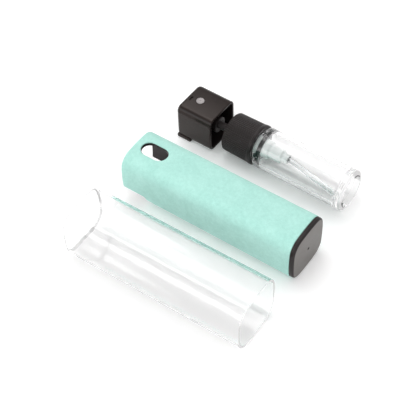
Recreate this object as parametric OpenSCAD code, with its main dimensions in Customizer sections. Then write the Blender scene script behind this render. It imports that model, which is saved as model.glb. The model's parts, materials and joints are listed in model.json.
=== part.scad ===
// Lens cleaning spray, laid out as its three loose pieces: the clear cover, the
// microfibre sleeve and the mist sprayer. X runs along the sleeve toward its base
// plug, Z is up, and the whole layout stands on Z = 0.

/* [Sleeve] */
// Overall length of the sleeve with its plug
sleeve_length = 95; // [85:0.5:110]
// Side of the wrapped sleeve
sleeve_side = 26; // [25:0.1:28]
// Outside corner radius of the wrapped sleeve
sleeve_corner = 6.8; // [5.5:0.1:8]
// Radius of the sleeve's slightly bowed sides
sleeve_bow = 66; // [50:1:200]
// Thickness of the microfibre cloth
cloth_thickness = 0.6; // [0.4:0.1:0.8]
// Wall of the black shell
shell_wall = 1.5; // [1:0.1:1.6]
// Length of the nozzle window along the sleeve
window_length = 13.8; // [10:0.1:18]
// Width of the nozzle window
window_width = 8; // [6:0.1:10]
// Distance of the window's centre from the open end
window_from_end = 10.6; // [9:0.1:16]
// Length of the cut-out in the back wall at the open end
cutout_length = 12.5; // [10:0.1:20]
// Height of the cut-out above the back face
cutout_height = 6; // [4:0.1:7]

/* [Base plug] */
// Visible band of the plug beyond the cloth
plug_band = 2.3; // [1.5:0.1:4]
// How far the plug is inset from the cloth on each side
plug_inset = 0.2; // [0:0.1:0.6]
// Rounding of the plug's outer edge
plug_edge = 1; // [0.4:0.1:1.2]
// Length of the spigot pressed into the shell
spigot_length = 6; // [3:0.5:10]
// Wall of the spigot
spigot_wall = 1.2; // [0.8:0.1:2]
// Diameter of the vent hole in the plug
vent_diameter = 1; // [0.6:0.1:2]

/* [Cover] */
// Length of the clear cover
cover_length = 95.5; // [88:0.5:110]
// Outside side of the clear cover
cover_side = 28.6; // [28.4:0.1:32]
// Wall of the clear cover
cover_wall = 1.1; // [0.8:0.1:1.15]
// Outside corner radius of the clear cover
cover_corner = 8; // [7:0.1:9]
// Rounding of the cover's closed end
cover_edge = 1.6; // [0.8:0.1:2]

/* [Bottle] */
// Diameter of the bottle
bottle_diameter = 20.7; // [20:0.1:21]
// Height of the bottle up to its shoulder
bottle_height = 50.3; // [40:0.1:60]
// Wall of the bottle
bottle_wall = 1.9; // [1:0.1:2.5]
// Thickness of the bottle's base
bottle_base = 3.4; // [1.5:0.1:5]
// Height of the neck above the shoulder
neck_height = 10.2; // [9.5:0.1:10.3]
// Neck diameter at the root of the thread
neck_diameter = 14.2; // [14:0.1:14.4]
// Bore of the neck
neck_bore = 11.2; // [10.4:0.1:11.6]

/* [Collar] */
// Height of the collar with its bead
collar_height = 16.9; // [16:0.1:17.5]
// Gap between the bottle's shoulder and the collar
collar_gap = 0.5; // [0.3:0.1:1]
// Diameter of the ribbed skirt at its top
collar_top_diameter = 19.8; // [19.4:0.1:20]
// Diameter of the ribbed skirt at its bottom
collar_bottom_diameter = 20.4; // [20.1:0.1:20.5]
// Diameter of the bead round the collar's lower rim
bead_diameter = 20.9; // [20.6:0.1:21]
// Height of the bead
bead_height = 1.7; // [1:0.1:2.5]
// Number of ribs round the collar
rib_count = 60; // [36:4:72]
// Depth of the grooves between the ribs
rib_depth = 0.25; // [0.1:0.05:0.3]

/* [Thread] */
// Pitch of the neck thread
thread_pitch = 3; // [2.5:0.25:3.5]
// Height of the thread above its root
thread_depth = 0.7; // [0.5:0.05:0.8]
// Clearance between the two threads
thread_clearance = 0.2; // [0.15:0.01:0.25]

/* [Spray head] */
// Side of the push head
head_side = 20.4; // [20:0.1:20.7]
// Length of the push head
head_length = 20.4; // [18:0.1:21]
// Corner radius of the push head
head_corner = 3.5; // [3:0.1:4]
// Wall of the push head
head_wall = 1.3; // [1:0.1:1.6]
// Gap between the collar and the head at rest
head_gap = 6.1; // [6:0.1:8]
// Distance of the nozzle from the head's closed end
nozzle_from_end = 7.5; // [7:0.1:9]
// Diameter of the nozzle insert
nozzle_diameter = 4; // [3.6:0.1:4.4]
// Diameter of the spray orifice
orifice_diameter = 0.35; // [0.25:0.05:0.6]
// Length of the two ears at the head's back
ear_length = 8; // [5:0.1:9]
// Thickness of the ears
ear_thickness = 2; // [1.2:0.1:2.5]
// Width across the two ears
ear_span = 20.8; // [20.4:0.1:21.2]

/* [Pump] */
// Stroke of the pump
stroke = 4.5; // [3:0.1:4.6]
// How far the piston lags behind the stem before the port opens
piston_lag = 0.6; // [0.3:0.1:0.8]
// Diameter of the stem
stem_diameter = 4; // [3.8:0.1:4]
// Bore of the pump cylinder
pump_bore = 7; // [7:0.1:7.4]
// Outside diameter of the pump cylinder
housing_diameter = 9.2; // [9:0.1:9.6]
// Free running clearance of the sliding pieces
running_clearance = 0.08; // [0.03:0.01:0.1]
// Diameter of the inlet ball
ball_diameter = 2.4; // [2:0.1:2.5]
// Lift of the inlet ball off its seat
ball_lift = 0.8; // [0.5:0.1:1]
// Outside diameter of the dip tube
tube_diameter = 2.8; // [2.4:0.1:3]
// Bore of the dip tube
tube_bore = 1.6; // [1.2:0.1:1.8]
// Lean of the dip tube away from the bottle's axis, in degrees
tube_lean = 10; // [0:1:11]

/* [Layout] */
// Turn of the sprayer away from the sleeve's direction, in degrees
sprayer_turn = -1.1; // [-3:0.1:3]
// Turn of the cover away from the sleeve's direction, in degrees
cover_turn = 0.6; // [-3:0.1:3]

/* [Hidden] */
$fn = 64;
tiny = 0.02;

// Places of the three pieces on the surface
sleeve_centre = [0.25, 2.35, 0];
cover_centre = [0.75, -41.05, 0];
sprayer_centre = [-1.35, 44.55, 0];

// Sleeve outlines, from the cloth inward
shell_side = sleeve_side - 2 * cloth_thickness;
shell_corner = sleeve_corner - cloth_thickness;
shell_bow = sleeve_bow - cloth_thickness;
bore_side = shell_side - 2 * shell_wall;
bore_corner = shell_corner - shell_wall;
bore_bow = shell_bow - shell_wall;
shell_length = sleeve_length - plug_band;
fit_gap = 0.05;

// Heights along the sprayer, measured from the bottle's bottom
collar_foot = bottle_height + collar_gap;
collar_top = collar_foot + collar_height;
collar_roof = 1.7;
neck_top = bottle_height + neck_height;
gasket_bottom = neck_top + 0.1;
gasket_height = 1;
flange_bottom = gasket_bottom + gasket_height;
flange_height = 1.2;
flange_diameter = neck_diameter - 0.6;
guide_bottom = flange_bottom + flange_height;
guide_top = collar_top - collar_roof - 0.1;
head_rim = collar_top + head_gap;
head_top = head_rim + head_length;
boss_bottom = head_rim + 1.2;
stem_top = boss_bottom + 9;
nozzle_height = head_top - nozzle_from_end;
turret_top = boss_bottom - stroke - 0.5;
turret_diameter = 6.6;

// Heights of the pieces inside the pump
skirt_bottom = guide_bottom - 4.7;
piston_top = skirt_bottom - 0.1;
piston_height = 4;
piston_bottom = piston_top - piston_height;
pin_flange_height = 1;
pin_flange_top = piston_bottom - 0.1;
pin_flange_bottom = pin_flange_top - pin_flange_height;
spring_chamber_top = pin_flange_bottom - stroke - 2.4;
spring_seat = spring_chamber_top - 4;
ball_seat = spring_seat - 3.4;
socket_top = ball_seat - 1.2;
housing_bottom = socket_top - 3;
intake_diameter = 1.4;
stem_bore = 1.8;
stem_neck = 3;
stem_shoulder = piston_top + piston_lag + fit_gap;
port_height = piston_bottom + 0.8;
spring_wire = 0.5;
spring_mean = 3.8;
spring_turns = 9;
spring_foot = spring_seat + fit_gap;
spring_length = pin_flange_bottom - fit_gap - spring_foot;

// Thread, set inside the collar's skirt
thread_bottom = bottle_height + 1.8;
thread_turns = 2;
thread_height = thread_pitch * thread_turns;
neck_root = neck_diameter / 2;
neck_crest = neck_root + thread_depth;

// Square with bowed sides and round corners, drawn as true arcs
module bowed_square(side, corner, bow) {
    reach = bow - side / 2;
    spot = (sqrt(2 * pow(bow - corner, 2) - pow(reach, 2)) - reach) / 2;
    away = [spot + reach, spot] / norm([spot + reach, spot]);
    far = 1.6 * corner;
    for (quarter = [0:3])
        rotate(90 * quarter) {
            intersection() {
                translate([-reach, 0]) circle(r = bow, $fn = 360);
                polygon([
                    [-spot / 2, 0],
                    [spot, -spot],
                    [spot + far * away[0], -spot - far * away[1]],
                    [spot + far * away[0], spot + far * away[1]],
                    [spot, spot]
                ]);
            }
            translate([spot, spot]) circle(r = corner);
        }
}

// The same outline as points, for blocks whose edges are rounded
function bowed_points(side, corner, bow) =
    let (reach = bow - side / 2,
         spot = (sqrt(2 * pow(bow - corner, 2) - pow(reach, 2)) - reach) / 2,
         lean = atan2(spot, spot + reach),
         side_steps = 6,
         corner_steps = 12)
    [
        for (quarter = [0:3]) for (step = [0:side_steps + corner_steps - 1])
            let (on_side = step < side_steps,
                 angle = on_side ? lean * (2 * step / side_steps - 1)
                    : lean + (90 - 2 * lean) * (step - side_steps) / corner_steps,
                 radius = on_side ? bow : corner,
                 across = (on_side ? -reach : spot) + radius * cos(angle),
                 up = (on_side ? 0 : spot) + radius * sin(angle))
                [across * cos(90 * quarter) - up * sin(90 * quarter),
                    across * sin(90 * quarter) + up * cos(90 * quarter)]
    ];

// Closed block along +X through sections of [place along X, inset of the outline]
module bowed_block(side, corner, bow, sections) {
    rings = [
        for (section = sections)
            bowed_points(side - 2 * section[1], corner - section[1], bow - section[1])
    ];
    count = len(rings[0]);
    last = len(sections) - 1;
    points = [
        for (index = [0:last]) for (point = rings[index])
            [sections[index][0], point[0], point[1]]
    ];
    skin = [
        for (index = [0:last - 1]) for (spot = [0:count - 1])
            let (next = (spot + 1) % count)
                [index * count + spot, index * count + next,
                    (index + 1) * count + next, (index + 1) * count + spot]
    ];
    start_cap = [[for (spot = [count - 1:-1:0]) spot]];
    end_cap = [[for (spot = [0:count - 1]) last * count + spot]];
    polyhedron(points, [for (face = concat(skin, start_cap, end_cap)) reverse(face)], convexity = 6);
}

function reverse(list) = [for (index = [len(list) - 1:-1:0]) list[index]];

// Places a shape drawn along Z so that it lies along +X from the given start
module along_x(start) {
    translate([start, 0, 0]) rotate([90, 0, 90]) children();
}

module rounded_square(side, corner) {
    flat = side - 2 * corner;
    square([side, flat], center = true);
    square([flat, side], center = true);
    for (x = [-1, 1]) for (y = [-1, 1]) translate([x * flat / 2, y * flat / 2]) circle(r = corner);
}

module obround(length, width) {
    straight = length - width;
    square([straight, width], center = true);
    for (end = [-1, 1]) translate([end * straight / 2, 0]) circle(d = width);
}

// Sleeve placement: its open end faces -X and its back wall rests on Z = 0
module on_sleeve() {
    translate(sleeve_centre + [0, 0, sleeve_side / 2]) children();
}

module window_cut(grow) {
    translate([window_from_end - sleeve_length / 2, 0, sleeve_side / 4])
        linear_extrude(sleeve_side) obround(window_length + grow, window_width + grow);
}

module cutout_cut(grow) {
    translate([-sleeve_length / 2 - 1, -sleeve_side, -sleeve_side / 2 - 1])
        cube([cutout_length + 1 + grow, 2 * sleeve_side, cutout_height + 1 + grow]);
}

module sleeve_shell() {
    color([0.16, 0.13, 0.13])
    on_sleeve() difference() {
        along_x(-sleeve_length / 2) linear_extrude(shell_length)
            bowed_square(shell_side, shell_corner, shell_bow);
        along_x(-sleeve_length / 2 - 1) linear_extrude(shell_length + 2)
            bowed_square(bore_side, bore_corner, bore_bow);
        window_cut(0);
        cutout_cut(0);
    }
}

module microfibre_wrap() {
    color([0.70, 0.90, 0.84])
    on_sleeve() difference() {
        along_x(-sleeve_length / 2) linear_extrude(shell_length - fit_gap)
            bowed_square(sleeve_side, sleeve_corner, sleeve_bow);
        along_x(-sleeve_length / 2 - 1) linear_extrude(shell_length + 2)
            bowed_square(shell_side, shell_corner, shell_bow);
        window_cut(0.4);
        cutout_cut(0.2);
    }
}

module base_plug() {
    plug_side = sleeve_side - 2 * plug_inset;
    plug_corner = sleeve_corner - plug_inset;
    plug_bow = sleeve_bow - plug_inset;
    spigot_side = bore_side - 2 * fit_gap;
    spigot_corner = bore_corner - fit_gap;
    spigot_bow = bore_bow - fit_gap;
    color([0.20, 0.17, 0.17])
    on_sleeve() translate([sleeve_length / 2 - plug_band, 0, 0]) difference() {
        union() {
            bowed_block(plug_side, plug_corner, plug_bow, concat([[0, 0]], [
                for (step = [0:4])
                    [plug_band - plug_edge * (1 - sin(22.5 * step)),
                        plug_edge * (1 - cos(22.5 * step))]
            ]));
            along_x(-spigot_length) linear_extrude(spigot_length + tiny)
                bowed_square(spigot_side, spigot_corner, spigot_bow);
        }
        along_x(-spigot_length - 1) linear_extrude(spigot_length + 1)
            bowed_square(spigot_side - 2 * spigot_wall, spigot_corner - spigot_wall,
                spigot_bow - spigot_wall);
        along_x(-1) cylinder(d = vent_diameter, h = plug_band + 2, $fn = 32);
    }
}

// Cover: its closed end faces -X
module clear_cover() {
    inner_side = cover_side - 2 * cover_wall;
    inner_corner = cover_corner - cover_wall;
    cover_bow = sleeve_bow + cover_side / 2 - sleeve_side / 2;
    inner_bow = cover_bow - cover_wall;
    color([0.88, 0.92, 0.92, 0.35])
    translate(cover_centre + [0, 0, cover_side / 2]) rotate([0, 0, cover_turn])
    translate([-cover_length / 2, 0, 0]) difference() {
        bowed_block(cover_side, cover_corner, cover_bow, concat([
            for (step = [0:4])
                [cover_edge * (1 - cos(22.5 * step)), cover_edge * (1 - sin(22.5 * step))]
        ], [[cover_length, 0]]));
        along_x(cover_wall) linear_extrude(cover_length)
            bowed_square(inner_side, inner_corner, inner_bow);
    }
}

// Sprayer placement: it is drawn upright from the bottle's bottom, with the nozzle
// facing +X, and then lies down with its head toward -X and its nozzle up
module on_sprayer() {
    lift = max(head_side, bottle_diameter, bead_diameter) / 2;
    translate(sprayer_centre + [0, 0, lift]) rotate([0, 0, sprayer_turn])
        translate([head_top / 2, 0, 0]) rotate([0, -90, 0]) children();
}

module tube(outer, inner, height) {
    difference() {
        cylinder(d = outer, h = height);
        translate([0, 0, -1]) cylinder(d = inner, h = height + 2);
    }
}

// Single-start thread: a round section set off its axis and turned along it
module thread_solid(radius, depth, height) {
    linear_extrude(height, twist = -360 * height / thread_pitch, slices = 24 * height / thread_pitch)
        translate([depth / 2, 0]) circle(r = radius + depth / 2, $fn = 40);
}

module bottle() {
    outer = bottle_diameter / 2;
    inner = outer - bottle_wall;
    edge = 1.2;
    shoulder = 2.2;
    inner_shoulder = bottle_height - 2.2;
    color([0.90, 0.93, 0.94, 0.4])
    on_sprayer() difference() {
        union() {
            rotate_extrude() {
                translate([0, edge]) square([outer, bottle_height - edge - shoulder]);
                square([outer - edge, bottle_height]);
                translate([outer - edge, edge]) circle(r = edge);
                square([outer - shoulder, bottle_height]);
                translate([outer - shoulder, bottle_height - shoulder]) circle(r = shoulder);
            }
            translate([0, 0, bottle_height - tiny]) cylinder(r = neck_root, h = neck_height + tiny);
            translate([0, 0, thread_bottom]) thread_solid(neck_root - 0.1, thread_depth, thread_height);
        }
        translate([0, 0, bottle_base]) cylinder(r = inner, h = inner_shoulder - bottle_base - 2);
        translate([0, 0, inner_shoulder - 2 - tiny])
            cylinder(r1 = inner, r2 = neck_bore / 2, h = 2 + tiny);
        translate([0, 0, inner_shoulder - 1]) cylinder(d = neck_bore, h = neck_height + 8);
    }
}

module screw_collar() {
    chamfer = 0.6;
    skirt_foot = collar_foot + bead_height;
    inner_root = neck_crest + thread_clearance;
    color([0.19, 0.16, 0.16])
    on_sprayer() difference() {
        union() {
            translate([0, 0, collar_foot]) cylinder(d = bead_diameter, h = bead_height);
            translate([0, 0, skirt_foot - tiny])
                cylinder(d1 = collar_bottom_diameter, d2 = collar_top_diameter,
                    h = collar_height - bead_height - chamfer + tiny);
            translate([0, 0, collar_top - chamfer - tiny])
                cylinder(d1 = collar_top_diameter, d2 = collar_top_diameter - 2 * chamfer,
                    h = chamfer + tiny);
        }
        translate([0, 0, collar_foot - 1])
            cylinder(r = inner_root, h = thread_bottom - collar_foot + 1);
        translate([0, 0, thread_bottom - tiny]) rotate([0, 0, -360 * tiny / thread_pitch])
            thread_solid(neck_root - 0.1 + thread_clearance, thread_depth,
                thread_height + 2 * tiny);
        translate([0, 0, thread_bottom + thread_height])
            cylinder(r = inner_root, h = collar_top - collar_roof - thread_bottom - thread_height);
        translate([0, 0, collar_foot]) cylinder(d = turret_diameter + 0.4, h = collar_height + 1);
        for (rib = [0:rib_count - 1])
            rotate([0, 0, 360 * rib / rib_count])
                translate([collar_bottom_diameter / 2 - rib_depth, 0, skirt_foot + 0.6])
                    rotate([0, -atan((collar_bottom_diameter - collar_top_diameter) / 2
                        / (collar_height - bead_height - chamfer)), 0])
                    translate([0, -0.2, 0]) cube([1, 0.4, collar_height]);
    }
}

module neck_gasket() {
    color([0.85, 0.85, 0.83])
    on_sprayer() translate([0, 0, gasket_bottom])
        tube(flange_diameter, housing_diameter + 0.1, gasket_height);
}

// Room for the inlet ball, with three nubs at its top that keep the ball in
module ball_chamber() {
    chamber = ball_diameter + 0.5;
    nub_height = 0.35;
    difference() {
        translate([0, 0, ball_seat]) cylinder(d = chamber, h = spring_seat - ball_seat + tiny);
        for (nub = [0:2])
            rotate([0, 0, 120 * nub])
                translate([0.95, -0.3, spring_seat - nub_height]) cube([1, 0.6, nub_height]);
    }
}

module pump_housing() {
    color([0.90, 0.92, 0.91])
    on_sprayer() difference() {
        union() {
            translate([0, 0, flange_bottom]) cylinder(d = flange_diameter, h = flange_height);
            translate([0, 0, spring_chamber_top - 1.2])
                cylinder(d = housing_diameter, h = flange_bottom - spring_chamber_top + 1.3);
            translate([0, 0, ball_seat - 0.6])
                cylinder(d = 7, h = spring_chamber_top - ball_seat + 0.4);
            translate([0, 0, housing_bottom]) cylinder(d = 4.6, h = ball_seat - housing_bottom);
        }
        translate([0, 0, spring_chamber_top]) cylinder(d = pump_bore, h = guide_bottom);
        translate([0, 0, spring_seat]) cylinder(d = spring_mean + 1, h = guide_bottom);
        ball_chamber();
        translate([0, 0, socket_top - 1]) cylinder(d = intake_diameter, h = ball_seat - socket_top + 2);
        translate([0, 0, housing_bottom - 1])
            cylinder(d = tube_diameter + 2 * fit_gap, h = socket_top - housing_bottom + 1);
    }
}

module stem_guide() {
    color([0.22, 0.19, 0.19])
    on_sprayer() difference() {
        union() {
            translate([0, 0, guide_bottom]) cylinder(d = flange_diameter, h = guide_top - guide_bottom);
            translate([0, 0, skirt_bottom])
                cylinder(d = pump_bore - 2 * fit_gap, h = guide_bottom - skirt_bottom + tiny);
            translate([0, 0, guide_bottom]) cylinder(d = turret_diameter, h = turret_top - guide_bottom);
        }
        translate([0, 0, skirt_bottom - 1])
            cylinder(d = stem_diameter + 2 * running_clearance, h = turret_top);
    }
}

module pump_stem() {
    stem_foot = pin_flange_top;
    color([0.30, 0.27, 0.27])
    on_sprayer() difference() {
        union() {
            translate([0, 0, stem_shoulder])
                cylinder(d = stem_diameter, h = stem_top - stem_shoulder);
            translate([0, 0, stem_foot]) cylinder(d = stem_neck, h = stem_shoulder - stem_foot + tiny);
        }
        translate([0, 0, stem_foot - 1]) cylinder(d = stem_bore, h = stem_top - stem_foot + 2);
        translate([0, 0, port_height]) rotate([0, 90, 0]) cylinder(d = 0.8, h = stem_neck, $fn = 32);
    }
}

module stem_pin() {
    stalk = stem_bore - 2 * 0.02;
    stalk_length = 3.5;
    guide_length = 2;
    color([0.85, 0.86, 0.85])
    on_sprayer() {
        translate([0, 0, pin_flange_bottom]) cylinder(d = spring_mean + 0.6, h = pin_flange_height);
        translate([0, 0, pin_flange_bottom - guide_length])
            cylinder(d = spring_mean - spring_wire - 0.7, h = guide_length + tiny);
        difference() {
            translate([0, 0, pin_flange_top - tiny]) cylinder(d = stalk, h = stalk_length + tiny);
            translate([0.3, -1, pin_flange_top]) cube([1, 2, stalk_length + 1]);
        }
    }
}

module pump_piston() {
    lip = 1;
    color([0.94, 0.94, 0.93])
    on_sprayer() difference() {
        union() {
            translate([0, 0, piston_bottom + lip])
                cylinder(d = pump_bore - 1, h = piston_height - 2 * lip);
            for (height = [piston_bottom, piston_top - lip])
                translate([0, 0, height]) cylinder(d = pump_bore - 2 * fit_gap, h = lip);
        }
        translate([0, 0, piston_bottom - 1])
            cylinder(d = stem_neck + 2 * fit_gap, h = piston_height + 2);
        translate([0, 0, piston_top - lip]) cylinder(d = stem_diameter + 0.6, h = lip + 1);
    }
}

// Rise of the spring's wire: closed at both ends and evenly open between them
function spring_rise(turn) =
    let (open_turns = spring_turns - 2,
         open_pitch = (spring_length - 3 * spring_wire) / open_turns)
    turn < 1 ? spring_wire * turn
        : turn > spring_turns - 1 ? spring_length - spring_wire * (1 + spring_turns - turn)
        : spring_wire + open_pitch * (turn - 1);

module pump_spring() {
    sides = 8;
    steps = 16;
    rings = spring_turns * steps;
    radius = spring_wire / 2;
    points = [
        for (ring = [0:rings]) let (angle = 360 * ring / steps)
            for (side = [0:sides - 1]) let (around = 360 * side / sides,
                    reach = spring_mean / 2 + radius * cos(around))
                [reach * cos(angle), reach * sin(angle),
                    radius + spring_rise(ring / steps) + radius * sin(around)]
    ];
    skin = [
        for (ring = [0:rings - 1]) for (side = [0:sides - 1])
            let (next = (side + 1) % sides)
            [ring * sides + side, ring * sides + next,
                (ring + 1) * sides + next, (ring + 1) * sides + side]
    ];
    start_cap = [[for (side = [sides - 1:-1:0]) side]];
    end_cap = [[for (side = [0:sides - 1]) rings * sides + side]];
    color([0.75, 0.76, 0.78])
    on_sprayer() translate([0, 0, spring_foot])
        polyhedron(points, concat(skin, start_cap, end_cap), convexity = 10);
}

module inlet_ball() {
    radius = ball_diameter / 2;
    rest = sqrt(pow(radius, 2) - pow(intake_diameter / 2, 2)) + fit_gap;
    color([0.80, 0.85, 0.88])
    on_sprayer() translate([0, 0, ball_seat + rest]) sphere(r = radius);
}

// Dip tube: straight out of its socket, then leaning toward the bottle's lower corner
module tube_run(diameter, spare) {
    elbow_height = housing_bottom - 1.2;
    swell = 0.1;
    run = (elbow_height - bottle_base - 1.2) / cos(tube_lean);
    translate([0, 0, elbow_height]) {
        cylinder(d = diameter, h = socket_top - fit_gap - elbow_height + spare);
        sphere(d = diameter + swell);
        rotate([0, -tube_lean, 0]) translate([0, 0, -run - spare])
            cylinder(d = diameter, h = run + spare);
    }
}

module dip_tube() {
    lean_side = 215;
    color([0.93, 0.94, 0.94])
    on_sprayer() rotate([0, 0, lean_side]) difference() {
        tube_run(tube_diameter, 0);
        tube_run(tube_bore, 1);
    }
}

module spray_head() {
    roof = 1.6;
    face = head_side / 2;
    boss_diameter = 8.4;
    arm_diameter = 6.6;
    pocket_depth = nozzle_diameter * 0.9;
    channel = 1;
    slot = [0.6, 3, 1];
    ear_proud = 0.2;
    slot_from_end = 2.9;
    slot_aside = -1.3;
    color([0.17, 0.14, 0.14])
    on_sprayer() difference() {
        union() {
            difference() {
                translate([0, 0, head_rim]) linear_extrude(head_length)
                    rounded_square(head_side, head_corner);
                translate([0, 0, head_rim - 1]) linear_extrude(head_length - roof + 1)
                    rounded_square(head_side - 2 * head_wall, head_corner - head_wall);
            }
            translate([0, 0, boss_bottom])
                cylinder(d = boss_diameter, h = head_top - roof - boss_bottom + tiny);
            translate([0, 0, nozzle_height]) rotate([0, 90, 0])
                cylinder(d = arm_diameter, h = face - head_wall / 2);
            translate([-face - ear_proud, -ear_span / 2, head_top - ear_length - 0.1])
                cube([ear_thickness, ear_span, ear_length]);
        }
        translate([0, 0, boss_bottom - 1])
            cylinder(d = stem_diameter + 2 * fit_gap, h = stem_top - boss_bottom + 1.2);
        translate([0, 0, stem_top]) cylinder(d = channel, h = nozzle_height - stem_top);
        translate([-channel, 0, nozzle_height]) rotate([0, 90, 0])
            cylinder(d = 1.4 * channel, h = face);
        translate([face - pocket_depth, 0, nozzle_height]) rotate([0, 90, 0])
            cylinder(d = nozzle_diameter + 2 * 0.02, h = pocket_depth + 1);
        translate([face - slot[0], slot_aside - slot[1] / 2, head_top - slot_from_end - slot[2] / 2])
            cube(slot + [1, 0, 0]);
    }
}

module nozzle_insert() {
    face = head_side / 2 + 0.1;
    length = nozzle_diameter * 0.8;
    wall = 0.6;
    front = 0.8;
    flare = 0.4;
    color([0.69, 0.66, 0.66])
    on_sprayer() translate([face - length, 0, nozzle_height]) rotate([0, 90, 0]) difference() {
        cylinder(d = nozzle_diameter, h = length);
        translate([0, 0, -1]) cylinder(d = nozzle_diameter - 2 * wall, h = length - front + 1);
        cylinder(d = orifice_diameter, h = length + 1, $fn = 32);
        translate([0, 0, length - flare])
            cylinder(d1 = orifice_diameter, d2 = 3 * orifice_diameter, h = flare + tiny);
        translate([0, 0, length - 0.2]) tube(0.75 * nozzle_diameter, 0.6 * nozzle_diameter, 1);
    }
}

clear_cover();
sleeve_shell();
microfibre_wrap();
base_plug();
bottle();
screw_collar();
neck_gasket();
pump_housing();
stem_guide();
pump_stem();
stem_pin();
pump_piston();
pump_spring();
inlet_ball();
dip_tube();
spray_head();
nozzle_insert();
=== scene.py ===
"""Looks of the lens cleaning spray: a clear cover, a microfibre sleeve and a mist sprayer.

Shapes are worked out in millimetres in the own frame of each loose piece, and put in place
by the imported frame's mounts and joints.
"""
import json
import math

import bmesh
import bpy
import numpy as np
from mathutils import Matrix, Vector, noise
from mathutils.geometry import delaunay_2d_cdt


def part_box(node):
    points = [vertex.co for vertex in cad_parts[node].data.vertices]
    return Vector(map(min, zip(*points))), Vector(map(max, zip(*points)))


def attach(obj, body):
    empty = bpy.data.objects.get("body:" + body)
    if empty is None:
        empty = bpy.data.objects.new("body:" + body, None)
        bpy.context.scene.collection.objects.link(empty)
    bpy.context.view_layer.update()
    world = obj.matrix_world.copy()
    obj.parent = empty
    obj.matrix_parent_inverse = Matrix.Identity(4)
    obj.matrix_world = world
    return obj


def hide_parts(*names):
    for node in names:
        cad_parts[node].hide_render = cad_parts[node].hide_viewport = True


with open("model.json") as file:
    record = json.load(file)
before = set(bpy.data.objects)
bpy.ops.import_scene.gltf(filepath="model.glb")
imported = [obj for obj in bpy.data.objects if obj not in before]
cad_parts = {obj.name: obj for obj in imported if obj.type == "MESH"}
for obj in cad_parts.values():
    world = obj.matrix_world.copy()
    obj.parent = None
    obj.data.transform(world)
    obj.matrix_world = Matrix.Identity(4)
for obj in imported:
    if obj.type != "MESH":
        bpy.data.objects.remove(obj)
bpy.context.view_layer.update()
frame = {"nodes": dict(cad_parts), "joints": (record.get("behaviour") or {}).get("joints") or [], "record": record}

MM = 0.001

# Sizes in millimetres, the same as in the CAD model
SLEEVE_SIDE, SLEEVE_CORNER, SLEEVE_BOW = 26.0, 6.8, 66.0
SLEEVE_LENGTH, PLUG_BAND = 95.0, 2.3
CLOTH, SHELL_WALL = 0.6, 1.5
WINDOW_LENGTH, WINDOW_WIDTH, WINDOW_AT = 13.8, 8.0, 10.6
CUTOUT_LENGTH, CUTOUT_HEIGHT = 12.5, 6.0
COVER_SIDE, COVER_CORNER, COVER_LENGTH, COVER_WALL = 28.6, 8.0, 95.5, 1.1
BOTTLE_RADIUS, BOTTLE_HEIGHT, BOTTLE_WALL, BOTTLE_BASE = 10.35, 50.3, 1.9, 3.4
NECK_TOP, NECK_RADIUS, NECK_BORE = 60.5, 7.1, 5.6
THREAD_START, THREAD_HEIGHT, THREAD_PITCH, THREAD_DEPTH = 52.1, 6.0, 3.0, 0.7
COLLAR_FOOT, COLLAR_TOP, COLLAR_BORE, BEAD_RADIUS, BEAD_HEIGHT = 50.8, 67.7, 8.0, 10.45, 1.7
RIBS = 60
FLANGE_FOOT, FLANGE_TOP, FLANGE_RADIUS = 61.6, 62.8, 6.8
PUMP_BORE, PUMP_RADIUS, FOOT_RADIUS, TUBE_SOCKET, INTAKE = 3.5, 4.6, 2.3, 1.45, 0.7
GUIDE_FOOT, GUIDE_TOP, GUIDE_BORE, GUIDE_RADIUS = 58.1, 70.0, 2.08, 3.3
STEM_FOOT, STEM_TOP, STEM_RADIUS, STEM_BORE = 53.9, 84.0, 2.0, 0.9
TUBE_RADIUS, TUBE_BORE, TUBE_TOP, TUBE_ELBOW = 1.4, 0.8, 37.3, 33.2
HEAD_SIDE, HEAD_CORNER, HEAD_BOW, HEAD_WALL, HEAD_ROOF = 20.4, 3.5, 500.0, 1.3, 1.6
HEAD_RIM, HEAD_TOP, NOZZLE_AT, NOZZLE_POCKET = 73.8, 94.2, 86.7, 2.02


# ---------------------------------------------------------------- places

def joint_axis(name):
    return Vector(next(j["axis"] for j in frame["joints"] if j["name"] == name)).normalized()


def mount_spot(name):
    return Vector(next(m["pos_m"] for m in frame["record"]["mounts"] if m["name"] == name))


def frame_of(origin, x_axis, z_axis):
    """Matrix whose local X and Z run along the given directions, from the given point."""
    y_axis = z_axis.cross(x_axis)
    turned_axes = Matrix((x_axis, y_axis, z_axis)).transposed().to_4x4()
    return Matrix.Translation(origin) @ turned_axes


UP = Vector((0, 0, 1))
wrap_low, wrap_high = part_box("microfibre_wrap")
open_end = Vector((wrap_low[0], (wrap_low[1] + wrap_high[1]) / 2, (wrap_low[2] + wrap_high[2]) / 2))
SLEEVE = frame_of(open_end, Vector((1, 0, 0)), UP)
COVER = frame_of(mount_spot("cover_end"), -joint_axis("cover_pull"), UP)
SPRAYER = frame_of(mount_spot("bottle_end"), UP, -joint_axis("stem_press"))

# Lays a shape drawn along local Z along local X, and stands one drawn along X along Z
LAY = Matrix(((0, 0, 1, 0), (0, 1, 0, 0), (-1, 0, 0, 0), (0, 0, 0, 1)))
STAND = LAY.inverted()


# ---------------------------------------------------------------- meshes

def tidy(mesh, sharp):
    """Merges doubled points, turns the faces outward and shades smooth up to an angle."""
    edit = bmesh.new()
    edit.from_mesh(mesh)
    bmesh.ops.remove_doubles(edit, verts=edit.verts, dist=1e-7)
    bmesh.ops.dissolve_degenerate(edit, edges=edit.edges, dist=1e-8)
    bmesh.ops.recalc_face_normals(edit, faces=edit.faces)
    edit.to_mesh(mesh)
    edit.free()
    mesh.shade_smooth()
    mesh.set_sharp_from_angle(angle=math.radians(sharp))


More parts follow.
